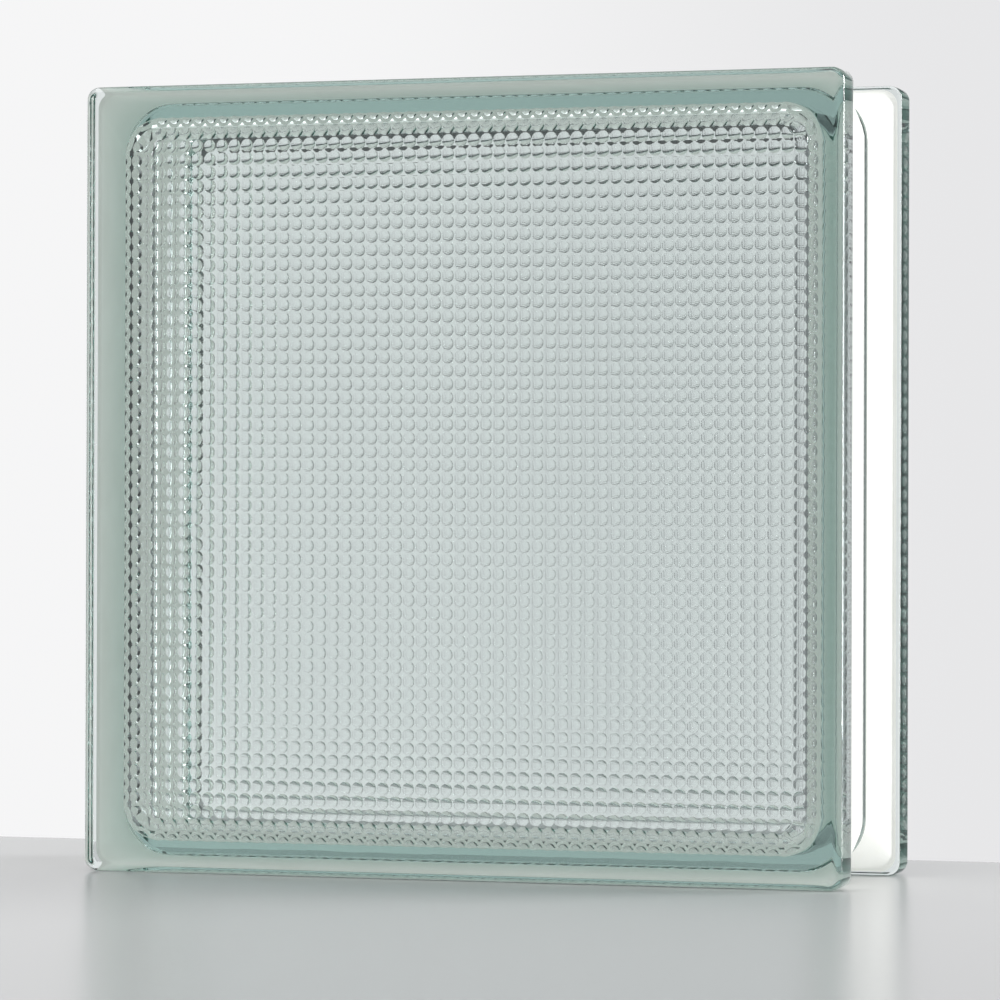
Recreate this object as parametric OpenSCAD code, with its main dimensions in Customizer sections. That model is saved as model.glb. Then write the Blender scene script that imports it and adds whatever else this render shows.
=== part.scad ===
// Hollow glass block: two pressed glass dishes, fused rim to rim at half depth.
// The origin is at the middle of the foot. X runs along the width, Y from the front to the rear, Z up.

/* [Block] */
// Width of the face
face_width = 240; // [140:1:300]
// Height of the face
face_height = 240; // [140:1:300]
// Depth from the front face to the rear face
block_depth = 80; // [60:1:120]

/* [Lips] */
// Depth of the lip round each face
lip_depth = 12; // [8:0.5:20]
// Radius of the lip's four corners
lip_corner_radius = 4; // [3:0.25:8]
// Radius of the edge between the face and the lip
lip_edge_radius = 2.5; // [1:0.25:3]
// Radius of the edge between the lip and the keyway
lip_back_radius = 0.75; // [0.5:0.25:1]

/* [Mortar keyway] */
// Step from the lip down to the floor of the keyway
keyway_recess = 2.25; // [1.5:0.25:4]
// Further fall of the keyway's floor from the lip to the seam
keyway_draft = 1.5; // [0:0.25:3]
// Corner radius of the keyway's floor at the lip
keyway_root_radius = 5; // [3:0.5:10]
// Corner radius of the keyway's floor at the seam
keyway_seam_radius = 16; // [8:0.5:24]
// Width of the cove between the lip and the keyway's floor
keyway_cove = 1; // [0.25:0.25:1.5]

/* [Panes and walls] */
// Thickness of each pane
pane_thickness = 10; // [6:0.5:14]
// Thickness of the side wall where it meets the pane
wall_at_pane = 6.75; // [5:0.25:10]
// Thickness of the side wall at the seam
wall_at_seam = 4.75; // [3:0.25:5]
// Corner radius of the air space, seen from the front, at the pane
cavity_corner_radius = 12; // [9:0.5:20]
// Radius of the fillet between the pane and the walls
cavity_fillet = 7.5; // [3:0.5:8]

/* [Seam] */
// Width of the groove at the fused seam
seam_groove_width = 1.5; // [0.5:0.25:3]
// Depth of the groove at the fused seam
seam_groove_depth = 0.6; // [0.2:0.1:1.2]

/* [Hidden] */

$fn = 96;
// Sides of a full circle in the lofted neck
loft_sides = 64;
// Thickness of the sheet that stands for a section of the loft
sheet = 0.01;
// Least flat strip that stays between the lip's rear edge and the cove
least_flank = 0.25;
// Length by which a cut runs past the surface that it leaves
overrun = 1;

half_depth = block_depth / 2;
groove_start = half_depth - seam_groove_width / 2;
groove_floor = seam_groove_width / 4;
cove = min(keyway_cove, keyway_recess - lip_back_radius - least_flank);
floor_inset_at_seam = keyway_recess + keyway_draft;
cavity_inset_at_pane = keyway_recess + wall_at_pane;
cavity_inset_at_seam = floor_inset_at_seam + wall_at_seam;
cavity_depth = half_depth - pane_thickness;
// Slope of the air space's walls, which lets the plunger out of the pressed dish
cavity_slope = (cavity_inset_at_pane - cavity_inset_at_seam) / cavity_depth;
glass_green = [0.62, 0.78, 0.73];

// Square-on outline of the block, drawn in by inset, with round corners.
module outline(inset, corner_radius) {
    w = face_width - 2 * inset;
    h = face_height - 2 * inset;
    square([w - 2 * corner_radius, h], center = true);
    square([w, h - 2 * corner_radius], center = true);
    for (x = [-1, 1], y = [-1, 1])
        translate([x * (w / 2 - corner_radius), y * (h / 2 - corner_radius)])
            circle(r = corner_radius);
}

// Slab with round corners whose border, corner_radius wide, has the children's section:
// x is the distance out from the middle of the corner, and y is the depth behind the face.
module bordered_slab(inset, corner_radius, depth) {
    core_w = face_width - 2 * inset - 2 * corner_radius;
    core_h = face_height - 2 * inset - 2 * corner_radius;
    translate([-core_w / 2, -core_h / 2, 0])
        cube([core_w, core_h, depth]);
    for (turn = [0, 180]) {
        rotate(turn)
            translate([core_w / 2, core_h / 2, 0])
                rotate([90, 0, 0])
                    linear_extrude(core_h)
                        children();
        rotate(turn + 90)
            translate([core_h / 2, core_w / 2, 0])
                rotate([90, 0, 0])
                    linear_extrude(core_w)
                        children();
    }
    for (x = [-1, 1], y = [-1, 1])
        translate([x * core_w / 2, y * core_h / 2, 0])
            rotate(x > 0 ? (y > 0 ? 0 : 270) : (y > 0 ? 90 : 180))
                rotate_extrude(angle = 90)
                    children();
}

// Quarter of a disc, towards +x and +y or, turned over, towards +x and -y.
module quarter_round(radius, turned = false) {
    intersection() {
        circle(r = radius);
        translate([0, turned ? -radius : 0])
            square(radius);
    }
}

// Section through the lip's border, round at its front and rear edges.
module lip_section() {
    front_x = lip_corner_radius - lip_edge_radius;
    back_x = lip_corner_radius - lip_back_radius;
    back_y = lip_depth - lip_back_radius;
    translate([0, lip_edge_radius])
        square([lip_corner_radius, back_y - lip_edge_radius]);
    square([front_x, lip_edge_radius]);
    translate([front_x, lip_edge_radius])
        quarter_round(lip_edge_radius, turned = true);
    translate([0, back_y])
        square([back_x, lip_back_radius]);
    translate([back_x, back_y])
        quarter_round(lip_back_radius);
}

// Section through the border of the air space: the pane's fillet, then the wall sloping out to the rim.
module cavity_section() {
    slope_angle = atan(cavity_slope);
    fillet_x = cavity_corner_radius + cavity_fillet * (tan(slope_angle) - 1 / cos(slope_angle));
    rim_y = cavity_depth + overrun;
    polygon([
        [0, 0],
        [fillet_x, 0],
        [fillet_x + cavity_fillet * cos(slope_angle), cavity_fillet * (1 - sin(slope_angle))],
        [cavity_corner_radius + rim_y * cavity_slope, rim_y],
        [0, rim_y]
    ]);
    translate([fillet_x, cavity_fillet])
        quarter_round(cavity_fillet, turned = true);
}

// One section of the loft, which ends at a depth behind the face.
module loft_section(depth, inset, corner_radius, thickness = sheet) {
    translate([0, 0, depth - thickness])
        linear_extrude(thickness)
            outline(inset, corner_radius, $fn = loft_sides);
}

// Outside of the four walls: a loft from the lip to the seam, ending in half of the seam's groove.
module neck() {
    groove_inset = floor_inset_at_seam + seam_groove_depth;
    hull() {
        loft_section(lip_depth, keyway_recess, keyway_root_radius, lip_depth / 2);
        loft_section(groove_start, floor_inset_at_seam, keyway_seam_radius);
        loft_section(half_depth, groove_inset, keyway_seam_radius, groove_floor);
    }
    hull() {
        loft_section(lip_depth, keyway_recess - cove, keyway_root_radius + cove, lip_depth / 2);
        loft_section(lip_depth + 2 * cove, keyway_recess + cove, keyway_root_radius - cove);
    }
}

// One pressed dish, face down: the face is at z = 0 and the open rim at half depth.
module dish() {
    difference() {
        union() {
            bordered_slab(0, lip_corner_radius, lip_depth)
                lip_section();
            neck();
        }
        translate([0, 0, pane_thickness])
            bordered_slab(cavity_inset_at_pane, cavity_corner_radius, cavity_depth + overrun)
                cavity_section();
    }
}

module front_half() {
    color(glass_green)
        translate([0, -half_depth, face_height / 2])
            rotate([-90, 0, 0])
                dish();
}

module rear_half() {
    color(glass_green)
        translate([0, half_depth, face_height / 2])
            rotate([90, 0, 0])
                dish();
}

front_half();
rear_half();
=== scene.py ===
import math

import bmesh
import bpy
from mathutils import Matrix, Vector


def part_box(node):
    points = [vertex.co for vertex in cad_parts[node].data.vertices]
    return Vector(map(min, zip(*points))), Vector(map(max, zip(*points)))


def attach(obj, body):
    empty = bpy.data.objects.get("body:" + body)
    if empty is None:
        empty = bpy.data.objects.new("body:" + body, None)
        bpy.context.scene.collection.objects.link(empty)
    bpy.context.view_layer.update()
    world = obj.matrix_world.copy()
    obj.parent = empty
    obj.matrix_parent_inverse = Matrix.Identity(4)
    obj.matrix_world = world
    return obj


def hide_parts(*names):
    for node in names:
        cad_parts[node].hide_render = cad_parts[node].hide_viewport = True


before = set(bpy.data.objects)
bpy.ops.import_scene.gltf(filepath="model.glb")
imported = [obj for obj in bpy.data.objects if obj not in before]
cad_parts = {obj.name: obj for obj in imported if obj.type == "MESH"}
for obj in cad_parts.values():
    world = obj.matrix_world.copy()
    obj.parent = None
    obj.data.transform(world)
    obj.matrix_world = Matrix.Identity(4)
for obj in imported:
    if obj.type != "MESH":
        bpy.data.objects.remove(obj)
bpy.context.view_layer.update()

# Glass dishes.
# Two like dishes of soda-lime glass, pressed in a mould by a plunger pitted to leave rows of small lenses.
# They are fused rim to rim while hot, which seals the air space.
# The mortar keyway round the outside is then sprayed with a white edge coat.
MM = 0.001
front_low, front_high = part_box("front_half")
face_width = front_high.x - front_low.x
face_height = front_high.z - front_low.z
half_depth = front_high.y - front_low.y
face_y = front_low.y
seam_y = front_high.y
mid_height = (front_low.z + front_high.z) / 2

# Sizes of the outside.
lip_depth = 12 * MM
lip_corner_radius = 4 * MM
lip_edge_radius = 2.5 * MM
lip_back_radius = 0.75 * MM
keyway_recess = 2.25 * MM
keyway_draft = 1.5 * MM
keyway_root_radius = 5 * MM
keyway_seam_radius = 16 * MM
keyway_cove = 1 * MM
flank_draft = 0.05 * MM
seam_groove_width = 1.5 * MM
seam_groove_depth = 0.6 * MM
bare_band = 4 * MM
seam_gap = 0.01 * MM
face_border = 0.5 * MM
corner_steps = 10
round_steps = 6
back_steps = 3
cove_steps = 4

# Sizes of the inside. A flute's heights are given by the steps from its middle.
pane_thickness = 10 * MM
lens_pitch = 4.06 * MM
lens_reach = 1.97 * MM
lens_crown = 0.85 * MM
lens_rise = 0.68 * MM
flat_cells = 51
fillet_rows = 2
cavity_fillet = 7.5 * MM
wall_draft = 0.5
wall_run = 30
wall_angle = math.atan(wall_draft / wall_run)
flute_heights = {0.5: 0.22 * MM, 1.5: 0.14 * MM, 2.5: 0}

GLASS, COAT = 0, 1


def rounded_ring(bm, depth, inset, radius):
    """Edge loop of the block's outline, behind the front face and drawn in by inset, with round corners."""
    for face in bm.faces:
        face.tag = True
    place = Matrix.Translation((0, face_y + depth, mid_height)) @ Matrix.Rotation(math.pi / 2, 4, "X")
    size = Matrix.Diagonal((face_width - 2 * inset, face_height - 2 * inset, 1, 1))
    square = bmesh.ops.create_grid(bm, x_segments=1, y_segments=1, size=0.5, matrix=place @ size)
    bmesh.ops.bevel(bm, geom=square["verts"], offset=radius, offset_type="OFFSET", segments=corner_steps,
                    profile=0.5, affect="VERTICES", material=-1)
    fill = [face for face in bm.faces if not face.tag]
    edges = list(fill[0].edges)
    bmesh.ops.delete(bm, geom=fill, context="FACES_ONLY")
    return edges


def quarter(steps):
    """Angles of a quarter round, both ends included."""
    return [math.pi / 2 * k / steps for k in range(steps + 1)]


# The outside follows one section from the face to the seam.
# A station of it has a depth, an inset, a corner radius and the finish of the strip behind it.
floor_inset = keyway_recess + keyway_draft
groove_start = half_depth - seam_groove_width / 2
section = []
for turn in quarter(round_steps):
    drop = lip_edge_radius * (1 - math.sin(turn))
    section.append((lip_edge_radius * (1 - math.cos(turn)), drop, lip_corner_radius - drop, GLASS))
for turn in quarter(back_steps):
    drop = lip_back_radius * (1 - math.cos(turn))
    section.append((lip_depth - lip_back_radius * (1 - math.sin(turn)), drop, lip_corner_radius, GLASS))
for turn in quarter(cove_steps):
    drop = keyway_recess - keyway_cove * (1 - math.sin(turn))
    depth = lip_depth + flank_draft + keyway_cove * (1 - math.cos(turn))
    section.append((depth, drop, keyway_root_radius, COAT))
coat_start = lip_depth + flank_draft + keyway_cove
coat_end = half_depth - bare_band / 2
share = (coat_end - coat_start) / (groove_start - coat_start)
coat_inset = keyway_recess + share * keyway_draft
coat_radius = keyway_root_radius + share * (keyway_seam_radius - keyway_root_radius)
section.append((coat_end, coat_inset, coat_radius, GLASS))
section.append((groove_start, floor_inset, keyway_seam_radius, GLASS))
groove_inset = floor_inset + seam_groove_depth
section.append((half_depth - seam_groove_width / 4, groove_inset, keyway_seam_radius, GLASS))
section.append((half_depth - seam_gap, groove_inset, keyway_seam_radius, GLASS))

dish = bmesh.new()
rings = [rounded_ring(dish, *station[:3]) for station in section]
for near, far, station in zip(rings, rings[1:], section):
    for face in bmesh.ops.bridge_loops(dish, edges=near + far)["faces"]:
        face.material_index = station[-1]
pane = bmesh.ops.contextual_create(dish, geom=rings[0])["faces"]
bmesh.ops.inset_individual(dish, faces=pane, thickness=face_border)

# The inside starts as the pane's grid: five steps a cell, drawn round into a low dome on flat ground.
# The vertices remember where the field's rim is, which way is out and where a crease runs.
steps = 5
cell_edge = steps / 2
step = lens_pitch / steps
DOME_CREASE, VALLEY_CREASE = 1, 2
count = flat_cells * steps
field_half = flat_cells * lens_pitch / 2
rim_place = dish.verts.layers.float_vector.new("rim_place")
rim_out = dish.verts.layers.float_vector.new("rim_out")
rim_step = dish.verts.layers.float.new("rim_step")
at_corner = dish.verts.layers.int.new("at_corner")
crease = dish.verts.layers.int.new("crease")


def lens(across, along):
    """Place from the cell's middle, height and crease of a grid point, given by its steps from there."""
    ring = max(abs(across), abs(along))
    reach = math.hypot(across, along)
    if ring > 2:
        return across * step, along * step, 0, 0
    if ring > 1:
        return across * lens_reach / reach, along * lens_reach / reach, 0, DOME_CREASE
    return across * lens_crown / reach, along * lens_crown / reach, lens_rise, 0


field = bmesh.ops.create_grid(dish, x_segments=count, y_segments=count, size=0.5)["verts"]
for vert in field:
    stop_x = round((vert.co.x + 0.5) * count)
    stop_z = round((vert.co.y + 0.5) * count)
    cell_x = min(stop_x // steps, flat_cells - 1)
    cell_z = min(stop_z // steps, flat_cells - 1)
    step_x = stop_x - cell_x * steps - cell_edge
    step_z = stop_z - cell_z * steps - cell_edge
    across, along, rise, vert[crease] = lens(step_x, step_z)
    x = (cell_x + 0.5) * lens_pitch - field_half + across
    z = (cell_z + 0.5) * lens_pitch - field_half + along
    on_level_side = stop_z in (0, count)
    out = Vector((0, 0, math.copysign(1, z))) if on_level_side else Vector((math.copysign(1, x), 0, 0))
    vert[rim_step] = step_x if on_level_side else step_z
    # The field's corner cells are drawn in to a quarter disc, so that the walls meet in a round corner.
    u = (abs(x) - field_half) / lens_pitch + 1
    v = (abs(z) - field_half) / lens_pitch + 1
    if u > 0 and v > 0:
        out.x = math.copysign(u * math.sqrt(1 - v * v / 2), x)
        out.z = math.copysign(v * math.sqrt(1 - u * u / 2), z)
        x = math.copysign(field_half - lens_pitch, x) + lens_pitch * out.x
        z = math.copysign(field_half - lens_pitch, z) + lens_pitch * out.z
        vert[at_corner] = 1
    vert[rim_place] = Vector((x, 0, z + mid_height))
    vert[rim_out] = out.normalized()
    vert.co = Vector((x, face_y + pane_thickness + rise, z + mid_height))


def grow_rim(edges, put, *stage):
    """Extrudes the air space's rim, puts each new vertex by its step along the rim, gives the new rim."""
    made = bmesh.ops.extrude_edge_only(dish, edges=edges)["geom"]
    for vert in (part for part in made if isinstance(part, bmesh.types.BMVert)):
        out = vert[rim_out].normalized()
        side = Vector((abs(out.z), 0, abs(out.x)))
        slide, offset, depth, vert[crease] = put(vert[rim_step], *stage)
        vert.co = vert[rim_place] + out * offset
        if not vert[at_corner]:
            vert.co += side * slide
        vert.co.y = face_y + depth
    return [part for part in made if isinstance(part, bmesh.types.BMEdge) and part.is_boundary]


def on_fillet(arc, rise):
    """Offset and depth of a point at a length along the fillet's arc, lifted off it into the air space."""
    turn = arc / cavity_fillet
    offset = cavity_fillet * math.sin(turn) - rise * math.sin(turn)
    return offset, pane_thickness + cavity_fillet * (1 - math.cos(turn)) + rise * math.cos(turn)


def in_lens_row(along, row, out_step):
    """Slide, offset, depth and crease of a rim point in a row of lenses on the fillet."""
    across, slide, rise, creased = lens(out_step, along)
    return (slide - along * step, *on_fillet((row + 0.5) * lens_pitch + across, rise), creased)


in_field = set(field)
rim = [edge for edge in dish.edges if edge.is_boundary and edge.verts[0] in in_field]
for row in range(fillet_rows):
    for stop in range(1, steps + 1):
        rim = grow_rim(rim, in_lens_row, row, stop - cell_edge)

# Past the lens rows the rest of the fillet and the wall carry flutes, which run out at the rim.
arc_start = fillet_rows * lens_pitch
arc_end = (math.pi / 2 - wall_angle) * cavity_fillet
fillet_offset, fillet_depth = on_fillet(arc_end, 0)


def valley(along):
    """Crease of a rim point that lies in the valley between two flutes."""
    return VALLEY_CREASE if abs(along) == cell_edge else 0


def on_fluted_fillet(along, share, lift):
    """Slide, offset, depth and crease of a rim point at a share of the fluted part of the fillet."""
    rise = lift * flute_heights.get(abs(along), 0)
    return (0, *on_fillet(arc_start + share * (arc_end - arc_start), rise), valley(along))


def on_fluted_wall(along, share, lift):
    """Slide, offset, depth and crease of a rim point at a share of the wall."""
    rise = lift * flute_heights.get(abs(along), 0)
    depth = fillet_depth + share * (half_depth - seam_gap - fillet_depth)
    offset = fillet_offset + (depth - fillet_depth) * math.tan(wall_angle) - rise
    return (0, offset, depth, valley(along))


for share, lift in ((0.08, 0.7), (0.2, 1), (0.4, 1), (0.6, 1), (0.8, 1), (1, 1)):
    rim = grow_rim(rim, on_fluted_fillet, share, lift)
for share, lift in ((0.5, 1), (0.9, 1), (1, 0.6)):
    rim = grow_rim(rim, on_fluted_wall, share, lift)
creased_edges = []
for edge in dish.edges:
    start, end = edge.verts
    if start[crease] and start[crease] == end[crease]:
        creased_edges.append(edge)
bmesh.ops.triangle_fill(dish, use_beauty=True, edges=rim + rings[-1])
for layer in (rim_place, rim_out):
    dish.verts.layers.float_vector.remove(layer)
dish.verts.layers.float.remove(rim_step)
for layer in (at_corner, crease):
    dish.verts.layers.int.remove(layer)
# The extrusions give their faces in no fixed order, so the faces are put in the order of their vertices.
dish.verts.index_update()
vert_count = len(dish.verts)


def face_rank(face):
    """Number that orders the faces by their lowest, second lowest and highest vertex."""
    ranks = sorted(vert.index for vert in face.verts)
    return (ranks[0] * vert_count + ranks[1]) * vert_count + ranks[-1]


dish.faces.sort(key=face_rank)
bmesh.ops.recalc_face_normals(dish, faces=dish.faces)
sharp_angle = math.radians(50)
for face in dish.faces:
    face.smooth = True
for edge in dish.edges:
    if edge.calc_face_angle(0) > sharp_angle:
        edge.smooth = False
for edge in creased_edges:
    edge.smooth = False

# The glass is clear, and its green grows with the length of glass that light goes through.
glass = bpy.data.materials.new("pressed_green_glass")
glass.use_nodes = True
nodes = glass.node_tree.nodes
links = glass.node_tree.links
shader = nodes["Principled BSDF"]
shader.inputs["Base Color"].default_value = (1, 1, 1, 1)
shader.inputs["Roughness"].default_value = 0.0
shader.inputs["IOR"].default_value = 1.52
shader.inputs["Transmission Weight"].default_value = 1.0
tint = nodes.new("ShaderNodeVolumeAbsorption")
tint.inputs["Color"].default_value = (0.037, 0.37, 0.31, 1)
tint.inputs["Density"].default_value = 13.5
links.new(tint.outputs["Volume"], nodes["Material Output"].inputs["Volume"])
# Pressing leaves the surface slightly wavy.
glass_place = nodes.new("ShaderNodeTexCoord")
waves = nodes.new("ShaderNodeTexNoise")
waves.inputs["Scale"].default_value = 60
waves.inputs["Detail"].default_value = 1
ripple = nodes.new("ShaderNodeBump")
ripple.inputs["Strength"].default_value = 0.2
ripple.inputs["Distance"].default_value = 0.3 * MM
links.new(glass_place.outputs["Object"], waves.inputs["Vector"])
links.new(waves.outputs["Fac"], ripple.inputs["Height"])
links.new(ripple.outputs["Normal"], shader.inputs["Normal"])

# The sprayed coat is uneven in tone and grain, and it glows faintly: painted light that stands in for light
# soaking through it.
coat = bpy.data.materials.new("white_edge_coat")
coat.use_nodes = True
coat_nodes = coat.node_tree.nodes
coat_links = coat.node_tree.links
coat_shader = coat_nodes["Principled BSDF"]
coat_shader.inputs["Roughness"].default_value = 0.6
# Painted light: the coat glows evenly, though it is no lamp.
coat_shader.inputs["Emission Color"].default_value = (0.9, 0.93, 0.88, 1)
coat_shader.inputs["Emission Strength"].default_value = 0.46
coat_place = coat_nodes.new("ShaderNodeTexCoord")
patches = coat_nodes.new("ShaderNodeTexNoise")
patches.inputs["Scale"].default_value = 45
patches.inputs["Detail"].default_value = 4
shades = coat_nodes.new("ShaderNodeValToRGB")
shades.color_ramp.elements[0].position = 0.3
shades.color_ramp.elements[0].color = (0.53, 0.535, 0.51, 1)
shades.color_ramp.elements[1].position = 0.65
shades.color_ramp.elements[1].color = (0.61, 0.615, 0.6, 1)
grain = coat_nodes.new("ShaderNodeTexNoise")
grain.inputs["Scale"].default_value = 900
grain.inputs["Detail"].default_value = 2
pimples = coat_nodes.new("ShaderNodeBump")
pimples.inputs["Strength"].default_value = 0.3
pimples.inputs["Distance"].default_value = 0.1 * MM
coat_links.new(coat_place.outputs["Object"], patches.inputs["Vector"])
coat_links.new(patches.outputs["Fac"], shades.inputs["Fac"])
coat_links.new(shades.outputs["Color"], coat_shader.inputs["Base Color"])
coat_links.new(coat_place.outputs["Object"], grain.inputs["Vector"])
coat_links.new(grain.outputs["Fac"], pimples.inputs["Height"])
coat_links.new(pimples.outputs["Normal"], coat_shader.inputs["Normal"])

for name, node, mirrored in (("front_dish", "front_half", False), ("rear_dish", "rear_half", True)):
    half = dish.copy()
    if mirrored:
        from_seam = Matrix.Translation((0, -seam_y, 0))
        back = Matrix.Translation((0, seam_y, 0))
        mirror = back @ Matrix.Scale(-1, 4, (0, 1, 0)) @ from_seam
        bmesh.ops.transform(half, matrix=mirror, verts=half.verts)
        bmesh.ops.reverse_faces(half, faces=half.faces)
    mesh = bpy.data.meshes.new(name)
    half.to_mesh(mesh)
    half.free()
    mesh.materials.append(glass)
    mesh.materials.append(coat)
    piece = bpy.data.objects.new(name, mesh)
    bpy.context.collection.objects.link(piece)
    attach(piece, "root")
    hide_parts(node)
dish.free()

# Floor and backdrop.
# A plain pale table top and a plain white wall behind it, whose light falls off towards the right.
stage_half = 1.5
floor_rear = 0.1
floor_drop = 0.0001
floor_mesh = bpy.data.meshes.new("floor")
build = bmesh.new()
bmesh.ops.create_grid(build, x_segments=1, y_segments=1, size=stage_half)
bmesh.ops.translate(build, verts=build.verts, vec=(0, floor_rear - stage_half, -floor_drop))
build.to_mesh(floor_mesh)
build.free()
floor = bpy.data.objects.new("floor", floor_mesh)
bpy.context.collection.objects.link(floor)
floor_finish = bpy.data.materials.new("pale_table")
floor_finish.use_nodes = True
table = floor_finish.node_tree.nodes["Principled BSDF"]
table.inputs["Base Color"].default_value = (0.6, 0.605, 0.61, 1)
table.inputs["Roughness"].default_value = 0.25
floor_mesh.materials.append(floor_finish)

backdrop_top = 0.62
backdrop_y = 1.2
wall_mesh = bpy.data.meshes.new("backdrop")
build = bmesh.new()
bmesh.ops.create_grid(build, x_segments=1, y_segments=1, size=stage_half)
bmesh.ops.rotate(build, verts=build.verts, cent=(0, 0, 0), matrix=Matrix.Rotation(math.pi / 2, 3, "X"))
bmesh.ops.translate(build, verts=build.verts, vec=(0, backdrop_y, backdrop_top - stage_half))
build.to_mesh(wall_mesh)
build.free()
backdrop = bpy.data.objects.new("backdrop", wall_mesh)
bpy.context.collection.objects.link(backdrop)
wall_finish = bpy.data.materials.new("lit_wall")
wall_finish.use_nodes = True
wall_nodes = wall_finish.node_tree.nodes
wall_links = wall_finish.node_tree.links
lit = wall_nodes["Principled BSDF"]
lit.inputs["Base Color"].default_value = (0, 0, 0, 1)
lit.inputs["Specular IOR Level"].default_value = 0
lit.inputs["Emission Strength"].default_value = 1.0
wall_place = wall_nodes.new("ShaderNodeTexCoord")
wall_axes = wall_nodes.new("ShaderNodeSeparateXYZ")
wall_span = wall_nodes.new("ShaderNodeMapRange")
wall_span.inputs["From Min"].default_value = -0.8
wall_span.inputs["From Max"].default_value = 0.8
falloff = wall_nodes.new("ShaderNodeValToRGB")
falloff.color_ramp.interpolation = "EASE"
falloff.color_ramp.elements[0].position = 0.15
falloff.color_ramp.elements[0].color = (0.92, 0.92, 0.925, 1)
falloff.color_ramp.elements[1].position = 0.42
falloff.color_ramp.elements[1].color = (0.80, 0.80, 0.81, 1)
far_end = falloff.color_ramp.elements.new(0.7)
far_end.color = (0.25, 0.25, 0.26, 1)
wall_links.new(wall_place.outputs["Object"], wall_axes.inputs["Vector"])
wall_links.new(wall_axes.outputs["X"], wall_span.inputs["Value"])
wall_links.new(wall_span.outputs["Result"], falloff.inputs["Fac"])
wall_links.new(falloff.outputs["Color"], lit.inputs["Emission Color"])
# Seen from behind, the wall is clear, so that the block shows from all sides.
wall_side = wall_nodes.new("ShaderNodeNewGeometry")
solid_side = wall_nodes.new("ShaderNodeMath")
solid_side.operation = "SUBTRACT"
solid_side.inputs[0].default_value = 1.0
wall_links.new(wall_side.outputs["Backfacing"], solid_side.inputs[1])
wall_links.new(solid_side.outputs["Value"], lit.inputs["Alpha"])
wall_mesh.materials.append(wall_finish)

# Lights.
# A dim grey room with two soft boxes, one to the right and behind the block and a wide one overhead.
world = bpy.data.worlds.new("studio")
world.use_nodes = True
world.node_tree.nodes["Background"].inputs["Color"].default_value = (0.1, 0.1, 0.103, 1)
world.node_tree.nodes["Background"].inputs["Strength"].default_value = 1.0
bpy.context.scene.world = world


def softbox(name, place, aim, width, height, watts):
    """Soft rectangular light at a place, turned towards a point."""
    lamp = bpy.data.lights.new(name, "AREA")
    lamp.shape = "RECTANGLE"
    lamp.size = width
    lamp.size_y = height
    lamp.energy = watts
    box = bpy.data.objects.new(name, lamp)
    box.location = place
    box.rotation_euler = (Vector(aim) - Vector(place)).to_track_quat("-Z", "Y").to_euler()
    bpy.context.collection.objects.link(box)


softbox("softbox_right", (1.5, 0.95, 0.5), (0, 0, 0.12), 0.9, 1.2, 36)
softbox("softbox_top", (0, -0.3, 1.5), (0, 0, 0.1), 2.0, 1.6, 20)

# Camera.
# The photograph's own: a long lens a little under the block's mid height and off to its right.
camera_data = bpy.data.cameras.new("camera")
camera_data.sensor_width = 36
camera_data.lens = 176.4
camera_data.clip_end = 20
camera = bpy.data.objects.new("camera", camera_data)
camera_yaw = math.radians(19.04)
camera_pitch = math.radians(0.25)
camera_roll = math.radians(0.17)
camera_place = Matrix.Translation((0.4902, -1.4172, 0.1073))
camera_turn = Matrix.Rotation(camera_yaw, 4, "Z") @ Matrix.Rotation(math.pi / 2 + camera_pitch, 4, "X")
camera.matrix_world = camera_place @ camera_turn @ Matrix.Rotation(camera_roll, 4, "Z")
bpy.context.collection.objects.link(camera)
scene = bpy.context.scene
scene.camera = camera
# Light crosses many faces of the two dishes before it leaves them.
scene.cycles.max_bounces = 32
scene.cycles.transmission_bounces = 32
scene.cycles.glossy_bounces = 16
scene.view_settings.view_transform = "Standard"
